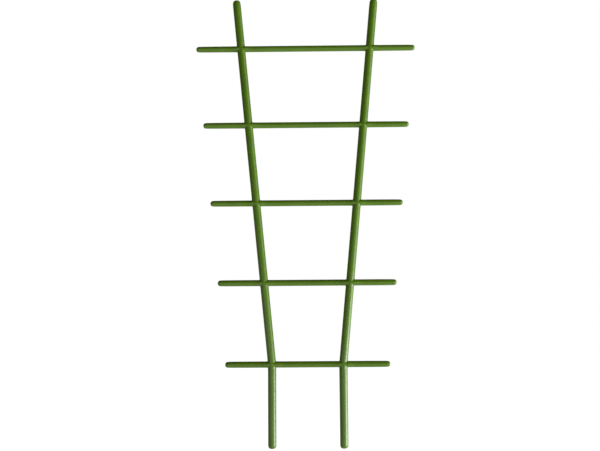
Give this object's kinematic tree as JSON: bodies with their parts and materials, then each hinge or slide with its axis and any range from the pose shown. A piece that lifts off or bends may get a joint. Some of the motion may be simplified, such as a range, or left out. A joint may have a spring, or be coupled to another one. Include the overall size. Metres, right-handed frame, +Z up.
{
  "type": "plant trellis",
  "caption": "Flat fan-shaped plastic trellis for a potted climber: two legs that go into soil, flared uprights, and round crossbars that reach past them.",
  "frame": {"origin": "midway between the two leg tips, at their lowest point", "axes": "+Z up along the trellis, +X along the crossbars to the right as seen from the front, +Y away from the viewer, square to the trellis's plane"},
  "size_m": [0.2226, 0.008, 0.45],
  "materials": {
    "green_plastic": "semi-gloss moulded polypropylene, grass green right through"
  },
  "bodies": {
    "root": {"left_upright": "green_plastic", "right_upright": "green_plastic", "crossbar_1": "green_plastic", "crossbar_2": "green_plastic", "crossbar_3": "green_plastic", "crossbar_4": "green_plastic", "crossbar_5": "green_plastic"}
  },
  "joints": []
}
